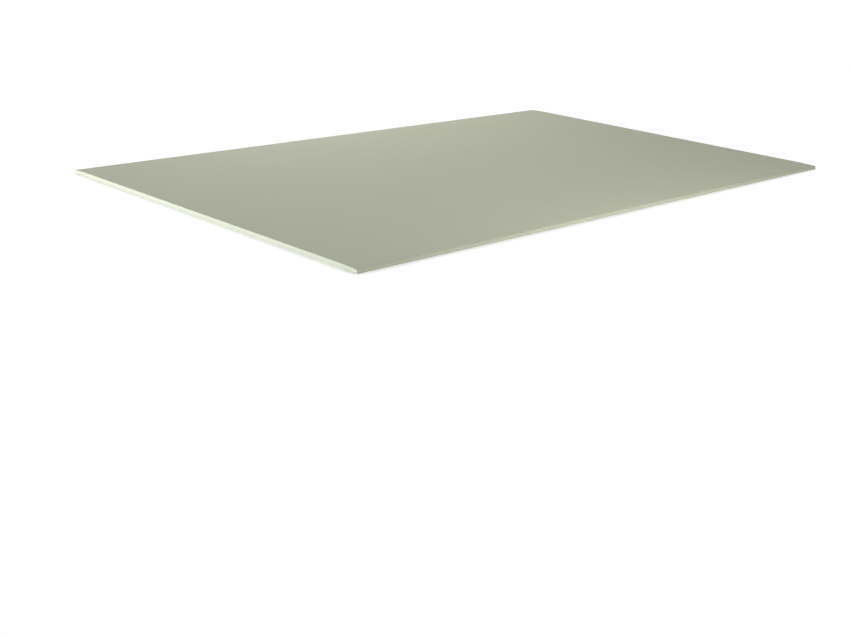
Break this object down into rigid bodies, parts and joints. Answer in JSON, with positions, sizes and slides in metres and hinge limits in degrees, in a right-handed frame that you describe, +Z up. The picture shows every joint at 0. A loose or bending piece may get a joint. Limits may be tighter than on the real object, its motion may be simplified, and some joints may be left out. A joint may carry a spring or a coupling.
{
  "type": "drywall sheet",
  "caption": "Flat rectangular drywall sheet of gypsum bound in grey-green paper, with tapered, rounded long edges and square-cut ends, for lining walls and ceilings.",
  "frame": {"origin": "middle of the flat back, which rests on the floor", "axes": "+X along the length, +Y across the width, +Z up out of the face"},
  "size_m": [2, 1.25, 0.0125],
  "materials": {
    "face_paper": "smooth matte grey-green paper, folded round the long edges",
    "gypsum_core": "dry, dull, finely porous set gypsum, where the ends are cut",
    "back_paper": "plain matte grey liner paper on the back"
  },
  "bodies": {
    "root": {"drywall_sheet": "face_paper"}
  },
  "joints": []
}
